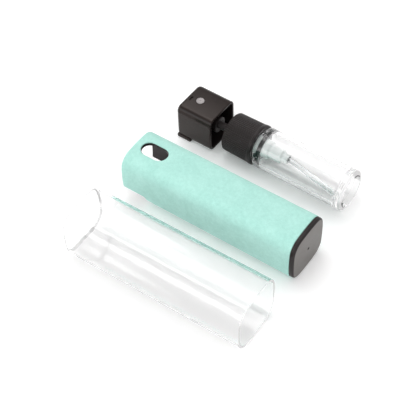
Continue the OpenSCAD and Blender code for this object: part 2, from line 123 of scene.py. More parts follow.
def make(name, shape, place, sharp=35):
    """A mesh object from local points in millimetres."""
    mesh = bpy.data.meshes.new(name)
    mesh.from_pydata([place @ (Vector(p) * MM) for p in shape[0]], [], shape[1])
    tidy(mesh, sharp)
    piece = bpy.data.objects.new(name, mesh)
    bpy.context.collection.objects.link(piece)
    return piece


def finish_piece(piece, body, material, node, even=True):
    """Gives the piece its material and body, hides the CAD node it stands for, and evens the shading on its flats.
    """
    piece.data.materials.clear()
    piece.data.materials.append(material)
    if even:
        weigh = piece.modifiers.new("even", "WEIGHTED_NORMAL")
        weigh.keep_sharp = True
    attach(piece, body)
    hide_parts(node)
    return piece


def add_shape(piece, shape, place):
    """Adds a closed shape to a piece's mesh."""
    extra = make(piece.name + "_extra", shape, place)
    edit = bmesh.new()
    edit.from_mesh(piece.data)
    edit.from_mesh(extra.data)
    edit.to_mesh(piece.data)
    edit.free()
    bpy.data.objects.remove(extra)


def look_by_zone(piece, place, materials, zone):
    """Adds materials. zone(centre, normal), in the piece's own frame, picks one for each face."""
    for material in materials:
        piece.data.materials.append(material)
    inward = place.inverted()
    turn = inward.to_3x3()
    for polygon in piece.data.polygons:
        polygon.material_index = int(zone(inward @ polygon.center / MM, turn @ polygon.normal))


def cut(piece, shape, place):
    """Takes a closed shape away from a piece."""
    tool = make(piece.name + "_tool", shape, place)
    knife = piece.modifiers.new("cut", "BOOLEAN")
    knife.operation = "DIFFERENCE"
    knife.solver = "EXACT"
    knife.object = tool
    bpy.context.view_layer.update()
    seen = bpy.context.evaluated_depsgraph_get()
    result = bpy.data.meshes.new_from_object(piece.evaluated_get(seen))
    piece.modifiers.remove(knife)
    piece.data = result
    bpy.data.objects.remove(tool)
    tidy(piece.data, 35)


def rounded(corners, steps=5):
    """A path through (a, b, radius) corners, each rounded by an arc of that radius."""
    path = []
    for index, (a, b, radius) in enumerate(corners):
        spot = np.array([a, b], float)
        if radius <= 0 or index in (0, len(corners) - 1):
            path.append(tuple(spot))
            continue
        back = np.array(corners[index - 1][:2], float) - spot
        ahead = np.array(corners[index + 1][:2], float) - spot
        back /= np.linalg.norm(back)
        ahead /= np.linalg.norm(ahead)
        half = math.acos(max(-1.0, min(1.0, float(back @ ahead)))) / 2
        reach = radius / math.tan(half)
        middle = back + ahead
        centre = spot + middle / np.linalg.norm(middle) * radius / math.sin(half)
        first, last = spot + back * reach - centre, spot + ahead * reach - centre
        turn = math.atan2(first[0] * last[1] - first[1] * last[0], float(first @ last))
        for step in range(steps + 1):
            angle = turn * step / steps
            c, s = math.cos(angle), math.sin(angle)
            path.append((centre[0] + c * first[0] - s * first[1],
                         centre[1] + s * first[0] + c * first[1]))
    return path


def skin(rows, count, loop=False):
    """Faces between rows of count points each. The ends are capped, or joined in a loop."""
    faces = []
    for row in range(rows if loop else rows - 1):
        here, there = row * count, (row + 1) % rows * count
        for i in range(count):
            j = (i + 1) % count
            faces.append((here + i, here + j, there + j, there + i))
    if not loop:
        faces.append(tuple(range(count - 1, -1, -1)))
        faces.append(tuple((rows - 1) * count + i for i in range(count)))
    return faces


def turned(profile, count=96, bend=None, loop=False):
    """A lathe shape about Z through (z, r). bend(z, r, angle) may change a radius."""
    points = []
    for z, r in profile:
        for i in range(count):
            angle = 2 * math.pi * i / count
            radius = max(r if bend is None else bend(z, r, angle), 1e-3)
            points.append((radius * math.cos(angle), radius * math.sin(angle), z))
    return points, skin(len(profile), count, loop=loop)


def moved(shape, matrix):
    return [tuple(matrix @ Vector(p)) for p in shape[0]], shape[1]


def spun(point, angle):
    c, s = math.cos(angle), math.sin(angle)
    return (c * point[0] - s * point[1], s * point[0] + c * point[1])


ARC_STEPS = 14


class Outline:
    """Square with bowed sides and round corners, walked from the middle of its back."""

    def __init__(self, side, corner, bow):
        reach = bow - side / 2
        spot = (math.sqrt(2 * (bow - corner) ** 2 - reach ** 2) - reach) / 2
        lean = math.atan2(spot, spot + reach)
        self.arcs = []
        for quarter in range(4):
            turn = math.pi / 2 * (quarter - 1)
            start = turn if quarter == 0 else turn - lean
            self.arcs.append((spun((-reach, 0), turn), bow, start, turn + lean))
            self.arcs.append((spun((spot, spot), turn), corner,
                              turn + lean, turn + math.pi / 2 - lean))
        full = 1.5 * math.pi
        self.arcs.append((spun((-reach, 0), full), bow, full - lean, full))
        self.ends = np.cumsum([arc[1] * (arc[3] - arc[2]) for arc in self.arcs])
        self.length = float(self.ends[-1])

    def at(self, along, lift=0.0):
        """Points (y, z) at distances along the outline, lifted off it by lift."""
        along = np.clip(np.asarray(along, float), 0, self.length)
        lift = np.broadcast_to(np.asarray(lift, float), along.shape)
        index = np.minimum(np.searchsorted(self.ends, along, side="left"), len(self.arcs) - 1)
        centre = np.array([arc[0] for arc in self.arcs])[index]
        radius = np.array([arc[1] for arc in self.arcs])[index]
        first = np.array([arc[2] for arc in self.arcs])[index]
        before = np.concatenate([[0], self.ends[:-1]])[index]
        angle = first + (along - before) / radius
        return centre + (radius + lift)[:, None] * np.stack([np.cos(angle), np.sin(angle)], 1)

    def marks(self):
        """Distances of points that follow each arc evenly. The back's two half arcs get half."""
        marks, start = [], 0.0
        for end in self.ends:
            steps = ARC_STEPS // 2 if start == 0.0 or end == self.length else ARC_STEPS
            marks += list(np.linspace(start, end, steps, endpoint=False))
            start = end
        return np.array(marks)


def lofted(outline, path, loop=False):
    """A shape along X through (x, inset) rings of a bowed square."""
    marks = outline.marks()
    points = []
    for x, inset in path:
        points += [(x, y, z) for y, z in outline.at(marks, -inset)]
    return points, skin(len(path), len(marks), loop=loop)


def obround(length, width, steps=16):
    """Points of an obround about the origin, along its first axis."""
    straight, radius = (length - width) / 2, width / 2
    points = []
    for side, centre in ((0, straight), (math.pi, -straight)):
        for step in range(steps + 1):
            angle = side - math.pi / 2 + math.pi * step / steps
            points.append((centre + radius * math.cos(angle), radius * math.sin(angle)))
    return points


def prism(outline, low, high):
    """A closed shape along Z over an outline of (x, y) points."""
    points = [(x, y, z) for z in (low, high) for x, y in outline]
    return points, skin(2, len(outline))


def block(low, high, radius):
    """A box with rounded edges along Z and rounded ends, between two corners."""
    steps = 4
    middle = [(a + b) / 2 for a, b in zip(low, high)]
    half = [(b - a) / 2 for a, b in zip(low, high)]
    curve = [(radius * (1 - math.sin(math.pi / 2 * k / steps)),
              radius * (1 - math.cos(math.pi / 2 * k / steps))) for k in range(steps + 1)]
    rows = [(low[2] + rise, inset) for rise, inset in reversed(curve)]
    rows += [(high[2] - rise, inset) for rise, inset in curve]
    points = []
    count = 4 * (steps + 1)
    for z, inset in rows:
        for quarter in range(4):
            for k in range(steps + 1):
                angle = math.pi / 2 * (quarter + k / steps)
                sx = 1 if quarter in (0, 3) else -1
                sy = 1 if quarter in (0, 1) else -1
                r = radius - inset * 0.999
                points.append((middle[0] + sx * (half[0] - radius) + r * math.cos(angle),
                               middle[1] + sy * (half[1] - radius) + r * math.sin(angle), z))
    return points, skin(len(rows), count)


def eccentric(radius, depth, angle):
    """Reach of a thread's round section, set off its axis, at an angle from its crest."""
    off = depth / 2
    return off * math.cos(angle) + math.sqrt((radius + off) ** 2 - (off * math.sin(angle)) ** 2)


def thread_reach(radius, z, angle):
    """Reach of the neck's right-handed thread at a height and angle."""
    return eccentric(radius, THREAD_DEPTH, angle - 2 * math.pi * (z - THREAD_START) / THREAD_PITCH)


# ---------------------------------------------------------------- materials

def surface(name, colour, roughness, **sockets):
    """A new material. Returns it with its nodes, links and shader."""
    made = bpy.data.materials.new(name)
    made.use_nodes = True
    nodes, links = made.node_tree.nodes, made.node_tree.links
    shader = nodes["Principled BSDF"]
    shader.inputs["Base Color"].default_value = (*colour, 1)
    shader.inputs["Roughness"].default_value = roughness
    for socket, value in sockets.items():
        shader.inputs[socket.replace("_", " ")].default_value = value
    return made, nodes, links, shader


def place_of(nodes, links, stretch=(1, 1, 1)):
    """The object's own coordinates, stretched."""
    spot = nodes.new("ShaderNodeTexCoord")
    mapping = nodes.new("ShaderNodeMapping")
    mapping.inputs["Scale"].default_value = stretch
    links.new(spot.outputs["Object"], mapping.inputs["Vector"])
    return mapping.outputs["Vector"]


def grain(nodes, links, place, scale, detail=3.0, rough=0.5):
    texture = nodes.new("ShaderNodeTexNoise")
    texture.inputs["Scale"].default_value = scale
    texture.inputs["Detail"].default_value = detail
    texture.inputs["Roughness"].default_value = rough
    links.new(place, texture.inputs["Vector"])
    return texture.outputs["Fac"]


def ramp(nodes, links, value, stops):
    """Colours at positions along a value."""
    made = nodes.new("ShaderNodeValToRGB")
    made.color_ramp.elements[0].position = stops[0][0]
    made.color_ramp.elements[0].color = (*stops[0][1], 1)
    made.color_ramp.elements[1].position = stops[-1][0]
    made.color_ramp.elements[1].color = (*stops[-1][1], 1)
    for position, colour in stops[1:-1]:
        element = made.color_ramp.elements.new(position)
        element.color = (*colour, 1)
    links.new(value, made.inputs["Fac"])
    return made.outputs["Color"]


def spread(nodes, links, value, low, high):
    """A value of about 0.3 to 0.7, mapped to a range."""
    made = nodes.new("ShaderNodeMapRange")
    made.inputs["From Min"].default_value = 0.3
    made.inputs["From Max"].default_value = 0.7
    made.inputs["To Min"].default_value = low
    made.inputs["To Max"].default_value = high
    links.new(value, made.inputs["Value"])
    return made.outputs["Result"]


def bumped(nodes, links, shader, layers):
    """Bump from (value, height in millimetres) layers, one over the other."""
    below = None
    for value, height in layers:
        bump = nodes.new("ShaderNodeBump")
        bump.inputs["Strength"].default_value = 1.0
        bump.inputs["Distance"].default_value = height * MM
        links.new(value, bump.inputs["Height"])
        if below is not None:
            links.new(below, bump.inputs["Normal"])
        below = bump.outputs["Normal"]
    links.new(below, shader.inputs["Normal"])


def plastic(name, dark, light, roughness, speck=0.004, wave=0.004, **sockets):
    """Moulded plastic: slight colour and gloss variation, a fine speckle and faint waves."""
    made, nodes, links, shader = surface(name, dark, roughness[0], **sockets)
    place = place_of(nodes, links)
    fine = grain(nodes, links, place, 5200, 2.0)
    broad = grain(nodes, links, place, 190, 3.0)
    links.new(ramp(nodes, links, broad, [(0.3, dark), (0.7, light)]), shader.inputs["Base Color"])
    links.new(spread(nodes, links, broad, *roughness), shader.inputs["Roughness"])
    bumped(nodes, links, shader, [(broad, wave), (fine, speck)])
    return made


def clear(name, tint, roughness, index, wave, stretch, coat, through=1.0):
    """Clear moulded plastic with faint flow waves and a polished skin."""
    made, nodes, links, shader = surface(
        name, tint, roughness, Transmission_Weight=through, IOR=index, Coat_Weight=coat,
        Coat_IOR=1.52, Coat_Roughness=roughness)
    place = place_of(nodes, links, stretch)
    broad = grain(nodes, links, place, 90, 1.5)
    bumped(nodes, links, shader, [(broad, wave)])
    return made


def microfibre():
    """Suede-like cloth: soft mottling where the nap lies differently, and fine fibres."""
    made, nodes, links, shader = surface(
        "microfibre", (0.4, 0.75, 0.66), 0.95, Sheen_Weight=0.35, Sheen_Roughness=0.6,
        Specular_IOR_Level=0.15)
    shader.inputs["Sheen Tint"].default_value = (0.85, 1.0, 0.96, 1)
    place = place_of(nodes, links)
    along = place_of(nodes, links, (1.0, 2.2, 1.6))
    fibre = grain(nodes, links, along, 2600, 4.0, 0.65)
    nap = grain(nodes, links, place, 620, 3.0, 0.6)
    patch = grain(nodes, links, place, 120, 2.0)
    mottle = nodes.new("ShaderNodeMix")
    mottle.data_type = "FLOAT"
    mottle.inputs["Factor"].default_value = 0.4
    links.new(nap, mottle.inputs["A"])
    links.new(patch, mottle.inputs["B"])
    colour = ramp(nodes, links, mottle.outputs["Result"], [
        (0.36, (0.385, 0.700, 0.625)), (0.5, (0.425, 0.745, 0.668)), (0.64, (0.465, 0.785, 0.708))])
    fleck = nodes.new("ShaderNodeMix")
    fleck.data_type = "RGBA"
    fleck.blend_type = "MULTIPLY"
    fleck.inputs["Factor"].default_value = 0.5
    links.new(colour, fleck.inputs["A"])
    links.new(ramp(nodes, links, fibre, [(0.3, (0.72, 0.76, 0.75)), (0.62, (1, 1, 1))]),
              fleck.inputs["B"])
    links.new(fleck.outputs["Result"], shader.inputs["Base Color"])
    bumped(nodes, links, shader, [(patch, 0.06), (nap, 0.10), (fibre, 0.05)])
    return made


BLACK_SATIN = plastic(
    "black_satin", (0.014, 0.010, 0.010), (0.019, 0.014, 0.014), (0.34, 0.44), 0.010,
    Specular_IOR_Level=0.25)
BLACK_GLOSS = plastic(
    "black_gloss", (0.013, 0.009, 0.008), (0.018, 0.012, 0.011), (0.12, 0.18), 0.002, 0.010,
    Specular_IOR_Level=0.24, Specular_Tint=(1.0, 0.90, 0.85, 1.0))
# The plug's end face is black plastic painted a lighter grey: painted light for the light that face catches
PLUG_END_PAINTED_LIGHT = plastic(
    "plug_end_painted_light", (0.110, 0.102, 0.095), (0.140, 0.129, 0.120), (0.38, 0.50), 0.020)
NOZZLE_GREY = plastic(
    "nozzle_grey", (0.34, 0.31, 0.31), (0.42, 0.39, 0.39), (0.30, 0.42), 0.006)
STEM_GREY = plastic(
    "stem_grey", (0.045, 0.038, 0.038), (0.060, 0.050, 0.050), (0.25, 0.38), 0.006)
PUMP_WHITE = plastic(
    "pump_white", (0.82, 0.88, 0.86), (0.90, 0.94, 0.925), (0.30, 0.45), 0.006)
SOFT_RING = plastic(
    "soft_ring", (0.70, 0.70, 0.68), (0.78, 0.78, 0.76), (0.5, 0.6), 0.008)
SPRING = plastic(
    "spring_steel", (0.52, 0.53, 0.55), (0.62, 0.63, 0.65), (0.18, 0.30), 0.004, Metallic=1.0)
BALL = plastic(
    "ball", (0.75, 0.80, 0.83), (0.85, 0.88, 0.90), (0.08, 0.15), 0.002)
MICROFIBRE = microfibre()

# Clear plastic bends light less here than it really does, and least at its ends and rims:
# at its real index the light caught in the walls would come out black
WHITE, EVEN = (1.0, 1.0, 1.0), (1, 1, 1)
COVER_CLEAR = clear("cover_clear", WHITE, 0.02, 1.26, 0.04, (0.25, 1, 1), 0.9)
END_CLEAR = clear("end_clear", WHITE, 0.03, 1.05, 0.04, EVEN, 0.5)
# Rims are partly clear and rough, and partly white: a painted glint for the light their walls carry
RIM_PAINTED_GLINT = clear("rim_painted_glint", (0.96, 0.95, 0.955), 0.20, 1.04, 0.04, EVEN, 0.5, through=0.35)
BOTTLE_CLEAR = clear("bottle_clear", WHITE, 0.015, 1.42, 0.10, (0.5, 1, 1), 0.5)
TUBE_CLEAR = clear("tube_clear", (0.96, 0.98, 0.98), 0.12, 1.45, 0.01, (0.2, 1, 1), 0.0)


# ---------------------------------------------------------------- sleeve

SHELL_END = SLEEVE_LENGTH - PLUG_BAND
SHELL_BORE = CLOTH + SHELL_WALL
SLEEVE_BACK = -SLEEVE_SIDE / 2
PLUG_PLACE = SLEEVE @ Matrix.Translation((SHELL_END * MM, 0, 0))
SPIGOT, SPIGOT_WALL, PLUG_INSET, VENT = 6.0, 1.2, 0.2, 0.5

sleeve_line = Outline(SLEEVE_SIDE, SLEEVE_CORNER, SLEEVE_BOW)
shell = make("sleeve_shell_black", lofted(sleeve_line, rounded([
    (0.0, CLOTH + SHELL_WALL / 2, 0), (0.0, CLOTH, 0.3), (SHELL_END, CLOTH, 0),
    (SHELL_END, SHELL_BORE, 0), (0.0, SHELL_BORE, 0.3),
    (0.0, CLOTH + SHELL_WALL / 2 + 0.01, 0)]), loop=True), SLEEVE)
window = [(WINDOW_AT + x, y) for x, y in obround(WINDOW_LENGTH, WINDOW_WIDTH)]
cut(shell, prism(window, SLEEVE_SIDE / 4, SLEEVE_SIDE), SLEEVE)
cut(shell, block((-3, -SLEEVE_SIDE, SLEEVE_BACK - 3),
                 (CUTOUT_LENGTH, SLEEVE_SIDE, SLEEVE_BACK + CUTOUT_HEIGHT), 0.6), SLEEVE)
finish_piece(shell, "sleeve", BLACK_SATIN, "sleeve_shell")

spigot_inset = SHELL_BORE + 0.05
plug = make("base_plug_black", lofted(sleeve_line, rounded([
    (0.0, spigot_inset + 2.6, 0), (0.0, spigot_inset + SPIGOT_WALL, 0.5),
    (-SPIGOT, spigot_inset + SPIGOT_WALL, 0.2), (-SPIGOT, spigot_inset, 0.4),
    (0.0, spigot_inset, 0), (0.0, PLUG_INSET, 0.15), (PLUG_BAND, PLUG_INSET, 1.0),
    (PLUG_BAND, 2.6, 0)])), PLUG_PLACE)
cut(plug, moved(turned(rounded([
    (-2, VENT, 0), (PLUG_BAND - 0.25, VENT, 0.2), (PLUG_BAND + 0.02, VENT + 0.3, 0),
    (PLUG_BAND + 1, VENT + 0.3, 0)]), 32), LAY), PLUG_PLACE)
finish_piece(plug, "sleeve", BLACK_SATIN, "base_plug")
# The end face gets the lighter grey, painted light
look_by_zone(plug, PLUG_PLACE, [PLUG_END_PAINTED_LIGHT],
             lambda centre, normal: normal.x > 0.97 and centre.x > PLUG_BAND - 0.1)


CLOTH_STEP, CLOTH_EDGE, CLOTH_SEAM, CLOTH_UNDERSIDE = 0.8, 0.45, 0.07, 0.01 - CLOTH


def leftward(line):
    """Unit normals on the left of a closed line."""
    ahead = np.roll(line, -1, 0) - np.roll(line, 1, 0)
    ahead /= np.linalg.norm(ahead, axis=1)[:, None]
    return np.stack([-ahead[:, 1], ahead[:, 0]], 1)


def cloth_edge(corners):
    """Evenly spaced points along a closed line of (s, x, radius) corners."""
    count = len(corners)
    path = []
    for index in range(count):
        three = [corners[index - 1], corners[index], corners[(index + 1) % count]]
        path += rounded(three, 6)[1:-1]
    dense = []
    for index, point in enumerate(path):
        after = path[(index + 1) % len(path)]
        steps = max(1, round(math.dist(point, after) / CLOTH_STEP))
        dense += [(point[0] + (after[0] - point[0]) * k / steps,
                   point[1] + (after[1] - point[1]) * k / steps) for k in range(steps)]
    return np.array(dense)


def inside(points, line):
    """Which points lie inside a closed line."""
    x, y = points[:, 0][:, None], points[:, 1][:, None]
    x1, y1 = line[:, 0][None], line[:, 1][None]
    x2, y2 = np.roll(line[:, 0], -1)[None], np.roll(line[:, 1], -1)[None]
    across = (y1 > y) != (y2 > y)
    rise = np.where(y2 == y1, 1, y2 - y1)
    hits = across & (x < (x2 - x1) * (y - y1) / rise + x1)
    return hits.sum(1) % 2 == 1


def distance_to(points, line):
    """Distance of points from the nearest vertex or edge of a closed line."""
    first, last = line[None], np.roll(line, -1, 0)[None]
    along = last - first
    share = ((points[:, None] - first) * along).sum(2) / (along ** 2).sum(2)
    nearest = first + np.clip(share, 0, 1)[..., None] * along
    return np.linalg.norm(points[:, None] - nearest, axis=2).min(1)


def cloth_borders(whole, length):
    """The flat cloth's outer edge and its window, as closed lines of (s, x) points."""
    probe = np.linspace(0, whole / 4, 2000)
    heights = sleeve_line.at(probe)[:, 1]
    lip = float(probe[np.searchsorted(heights, SLEEVE_BACK + CUTOUT_HEIGHT + 0.2)])
    notch = CUTOUT_LENGTH + 0.2
    outer = cloth_edge([
        (lip, 0, 0.6), (whole - lip, 0, 0.6), (whole - lip, notch, 1.2),
        (whole - CLOTH_SEAM, notch, 0.5), (whole - CLOTH_SEAM, length, 0.5),
        (CLOTH_SEAM, length, 0.5), (CLOTH_SEAM, notch, 0.5), (lip, notch, 1.2)])
    hole = np.array([(whole / 2 + y, WINDOW_AT + x)
                     for x, y in obround(WINDOW_LENGTH + 0.4, WINDOW_WIDTH + 0.4, 24)])
    return outer, hole


def cloth_net(outer, hole, whole, length):
    """Points and triangles of the flat cloth, with rows of points close along its borders."""
    away = leftward(hole)
    centre = np.array([whole / 2, WINDOW_AT])
    if ((hole + away - centre) ** 2).sum() < ((hole - centre) ** 2).sum():
        away = -away
    points, bars = [], []
    for line, inward in ((outer, leftward(outer)), (hole, away)):
        for offset in (0.0, 0.05, 0.15, 0.29, CLOTH_EDGE):
            first = len(points)
            points += [tuple(p) for p in line + inward * offset]
            bars += [(first + i, first + (i + 1) % len(line)) for i in range(len(line))]
    grid = np.array([(s, x) for s in np.arange(CLOTH_STEP, whole - CLOTH_STEP / 2, CLOTH_STEP)
                     for x in np.arange(CLOTH_STEP, length - CLOTH_STEP / 2, CLOTH_STEP)])
    grid += 0.12 * np.array([noise.noise_vector((s, x, 4.0))[:2] for s, x in grid])
    room = np.minimum(distance_to(grid, outer), distance_to(grid, hole)) > CLOTH_EDGE + 0.25
    grid = grid[room & inside(grid, outer) & ~inside(grid, hole)]
    points += [tuple(p) for p in grid]
    flat, _, triangles, _, _, _ = delaunay_2d_cdt([Vector(p) for p in points], bars, [], 0, 1e-6)
    flat = np.array([tuple(p) for p in flat])
    triangles = np.array([tuple(t) for t in triangles])
    middles = flat[triangles].mean(1)
    return flat, triangles[inside(middles, outer) & ~inside(middles, hole)]


def flat_area(flat, triangles):
    corners = flat[triangles]
    one, two = corners[:, 1] - corners[:, 0], corners[:, 2] - corners[:, 0]
    return float(np.abs(one[:, 0] * two[:, 1] - one[:, 1] * two[:, 0]).sum() / 2)


def closed_sheet(top, under, triangles):
    """A closed shape with the triangles on top, turned over underneath, and walls between."""
    count = len(top)
    faces = [tuple(int(i) for i in t) for t in triangles]
    faces += [tuple(int(i) + count for i in reversed(t)) for t in triangles]
    used = {}
    for a, b, c in triangles:
        for pair in ((a, b), (b, c), (c, a)):
            used.setdefault(tuple(sorted(pair)), []).append(pair)
    for pairs in used.values():
        if len(pairs) == 1:
            a, b = (int(i) for i in pairs[0])
            faces.append((b, a, a + count, b + count))
    points = top + under
    used_points = sorted({i for face in faces for i in face})
    renumber = {old: new for new, old in enumerate(used_points)}
    return [points[i] for i in used_points], [tuple(renumber[i] for i in face) for face in faces]


def cloth_shape(length):
    """The cloth wrapped round the shell: one sheet whose two edges meet along its back."""
    whole = sleeve_line.length
    outer, hole = cloth_borders(whole, length)
    flat, triangles = cloth_net(outer, hole, whole, length)
    deep = np.minimum(distance_to(flat, outer), distance_to(flat, hole))
    shallow = np.clip(1 - deep / CLOTH_EDGE, 0, 1)
    drop = 0.42 * (1 - np.sqrt(1 - shallow ** 2))
    calm = np.clip(deep / 1.5, 0, 1)
    rise = np.array([
        0.05 * noise.noise((s * 0.13, x * 0.13, 1.0)) + 0.03 * noise.noise((s * 0.7, x * 0.7, 5.0))
        for s, x in flat]) - 0.05
    top, under = (
        [(x, y, z) for x, (y, z) in zip(flat[:, 1], sleeve_line.at(flat[:, 0], lift))]
        for lift in (rise * calm - drop, CLOTH_UNDERSIDE))
    return closed_sheet(top, under, triangles), flat_area(flat, triangles)


cloth_length = SHELL_END - 0.05
cloth_mesh, cloth_area = cloth_shape(cloth_length)
cloth = make("microfibre_cloth", cloth_mesh, SLEEVE, 60)
finish_piece(cloth, "sleeve", MICROFIBRE, "microfibre_wrap", even=False)


# ---------------------------------------------------------------- cover

cover_line = Outline(COVER_SIDE, COVER_CORNER, SLEEVE_BOW + (COVER_SIDE - SLEEVE_SIDE) / 2)
cover = make("clear_cover_shell", lofted(cover_line, rounded([
    (0.0, 2.4, 0), (0.0, 0.0, 1.6), (COVER_LENGTH, 0.0, 0.35), (COVER_LENGTH, COVER_WALL, 0.35),
    (COVER_WALL, COVER_WALL, 0.9), (COVER_WALL, 2.9, 0)], 6)), COVER)
finish_piece(cover, "cover", COVER_CLEAR, "clear_cover")


def cover_zone(centre, normal):
    """The rim and the closed end's round edge get the second look, a painted glint, and the end's flat the first.
    """
    at_end = centre.x < 1.5
    if centre.x > COVER_LENGTH - 0.3 or at_end and abs(normal.x) < 0.97:
        return 2
    return at_end


look_by_zone(cover, COVER, [END_CLEAR, RIM_PAINTED_GLINT], cover_zone)


# ---------------------------------------------------------------- bottle and pump

INNER_RADIUS = BOTTLE_RADIUS - BOTTLE_WALL
THREAD_END = THREAD_START + THREAD_HEIGHT


def thread_rows(radius):
    """Rows just inside the thread's two ends, close enough together to follow it."""
    return [(THREAD_START + 0.001 + k * (THREAD_HEIGHT - 0.002) / 40, radius) for k in range(41)]


def bottle_reach(z, radius, angle):
    """Neck radii between the thread's ends follow the thread."""
    on_thread = THREAD_START < z < THREAD_END and NECK_RADIUS - 0.2 < radius < NECK_RADIUS + 0.2
    return max(radius, thread_reach(NECK_RADIUS - 0.1, z, angle)) if on_thread else radius


outside = rounded([
    (0.0, 0.01, 0), (0.0, INNER_RADIUS - 0.1, 0), (0.0, BOTTLE_RADIUS, 1.2),
    (BOTTLE_HEIGHT, BOTTLE_RADIUS, 2.2),
    (BOTTLE_HEIGHT, NECK_RADIUS, 0.25), (THREAD_START, NECK_RADIUS, 0)], 8)
mouth = rounded([
    (THREAD_END, NECK_RADIUS, 0), (NECK_TOP, NECK_RADIUS, 0.3),
    (NECK_TOP, NECK_BORE, 0.3), (BOTTLE_HEIGHT - 1.2, NECK_BORE, 0.4),
    (BOTTLE_HEIGHT - 4.2, INNER_RADIUS, 2.5), (BOTTLE_BASE, INNER_RADIUS, 2.2),
    (BOTTLE_BASE + 0.5, 0.01, 0)], 8)
bottle = make("clear_bottle_body", turned(
    outside + thread_rows(NECK_RADIUS) + mouth, 120, bottle_reach), SPRAYER, 40)
finish_piece(bottle, "refill_bottle", BOTTLE_CLEAR, "bottle")


def bottle_zone(centre, normal):
    """The base's outer ring gets the second look, a painted glint, and the rest of the base the first."""
    if centre.z < 1.3 and math.hypot(centre.x, centre.y) > INNER_RADIUS - 0.1:
        return 2
    return centre.z < BOTTLE_BASE + 0.6


look_by_zone(bottle, SPRAYER, [END_CLEAR, RIM_PAINTED_GLINT], bottle_zone)

housing = make("pump_housing_white", turned(rounded([
    (FLANGE_TOP, 4.0, 0), (FLANGE_TOP, FLANGE_RADIUS, 0.2), (FLANGE_FOOT, FLANGE_RADIUS, 0.2),
    (FLANGE_FOOT, PUMP_RADIUS, 0.2), (44.8, PUMP_RADIUS, 0.4), (44.0, 3.5, 0.3),
    (38.0, 3.5, 0.5), (37.2, FOOT_RADIUS, 0.4), (34.4, FOOT_RADIUS, 0.3),
    (34.4, TUBE_SOCKET, 0.1), (37.4, TUBE_SOCKET, 0), (37.4, INTAKE, 0), (38.6, INTAKE, 0),
    (38.6, TUBE_SOCKET, 0.2), (41.9, TUBE_SOCKET, 0), (42.0, 2.4, 0.2), (46.0, 2.4, 0),
    (46.0, PUMP_BORE, 0.1), (FLANGE_TOP, PUMP_BORE, 0)], 4), 72, loop=True), SPRAYER)
finish_piece(housing, "pump", PUMP_WHITE, "pump_housing")

guide = make("stem_guide_black", turned(rounded([
    (GUIDE_FOOT, GUIDE_BORE, 0), (GUIDE_FOOT, 3.45, 0.15), (FLANGE_TOP, 3.45, 0),
    (FLANGE_TOP, FLANGE_RADIUS, 0.15), (65.9, FLANGE_RADIUS, 0.3), (65.9, GUIDE_RADIUS, 0.3),
    (GUIDE_TOP, GUIDE_RADIUS, 0.5), (GUIDE_TOP, GUIDE_BORE, 0.25)], 5)
    + [(64.0, GUIDE_BORE)], 96, loop=True), SPRAYER)
finish_piece(guide, "pump", BLACK_SATIN, "stem_guide")

stem = make("pump_stem_tube", turned(rounded([
    (STEM_FOOT, STEM_BORE, 0), (STEM_FOOT, 1.5, 0.1), (58.55, 1.5, 0), (58.55, STEM_RADIUS, 0.1),
    (STEM_TOP, STEM_RADIUS, 0.3), (STEM_TOP, STEM_BORE, 0.1)], 4)
    + [(70.0, STEM_BORE)], 64, loop=True), SPRAYER)
port_place = Matrix.Translation((0, 0, 54.8)) @ LAY
cut(stem, moved(turned([(0.0, 0.4), (2.0, 0.4)], 20), port_place), SPRAYER)
finish_piece(stem, "stem", STEM_GREY, "pump_stem")


def tube_shape(path, outer, inner, count=28):
    """A tube along a smooth path of points that lie in the XZ plane."""
    rows = len(path)
    side = Vector((0, 1, 0))
    rings = []
    for index, spot in enumerate(path):
        ahead = (path[min(index + 1, rows - 1)] - path[max(index - 1, 0)]).normalized()
        rings.append((spot, side.cross(ahead).normalized()))
    points = []
    for radius, order in ((outer, rings), (inner, rings[::-1])):
        for spot, across in order:
            for i in range(count):
                angle = 2 * math.pi * i / count
                points.append(tuple(spot + radius * (math.cos(angle) * across + math.sin(angle) * side)))
    return points, skin(2 * rows, count, loop=True)


# The tube leans off the axis below its elbow, and stops just over the bottle's floor
TUBE_LEAN, TUBE_SIDE, TUBE_BEND = math.radians(10), math.radians(215), 4.0
elbow = Vector((0, 0, TUBE_ELBOW))
run = (TUBE_ELBOW - BOTTLE_BASE - 1.2) / math.cos(TUBE_LEAN)
lean_way = Vector((math.sin(TUBE_LEAN), 0, -math.cos(TUBE_LEAN)))
bend_start, bend_end = elbow + UP * TUBE_BEND, elbow + lean_way * TUBE_BEND
tube_path = [Vector((0, 0, TUBE_TOP))]
for step in range(9):
    tube_path.append(bend_start.lerp(elbow, step / 8).lerp(elbow.lerp(bend_end, step / 8), step / 8))
for step in range(1, 13):
    tube_path.append(bend_end.lerp(elbow + lean_way * run, step / 12))
dip = make("dip_tube_clear", tube_shape(tube_path, TUBE_RADIUS, TUBE_BORE),
           SPRAYER @ Matrix.Rotation(TUBE_SIDE, 4, "Z"))
finish_piece(dip, "pump", TUBE_CLEAR, "dip_tube")
dip.visible_shadow = False


# ---------------------------------------------------------------- collar

RIB_DEPTH, SKIRT_FOOT, COLLAR_ROOF = 0.32, COLLAR_FOOT + BEAD_HEIGHT, COLLAR_TOP - 1.7
RIBS_FOOT, COLLAR_SHOULDER = SKIRT_FOOT + 0.3, COLLAR_TOP - 0.6


def collar_reach(z, radius, angle):
    """Ribs on the outside of the skirt, and the thread inside it."""
    if radius > 9.2 and z > RIBS_FOOT:
        place = abs(2 * ((angle * RIBS / (2 * math.pi)) % 1) - 1)
        share = min(1.0, (z - RIBS_FOOT) / 0.5)
        return radius - RIB_DEPTH * share * max(0.0, (place - 0.3) / 0.7) ** 1.4
    if 7.5 < radius < 8.2 and THREAD_START < z < THREAD_END:
        return min(radius, thread_reach(NECK_RADIUS + 0.1, z, angle))
    return radius


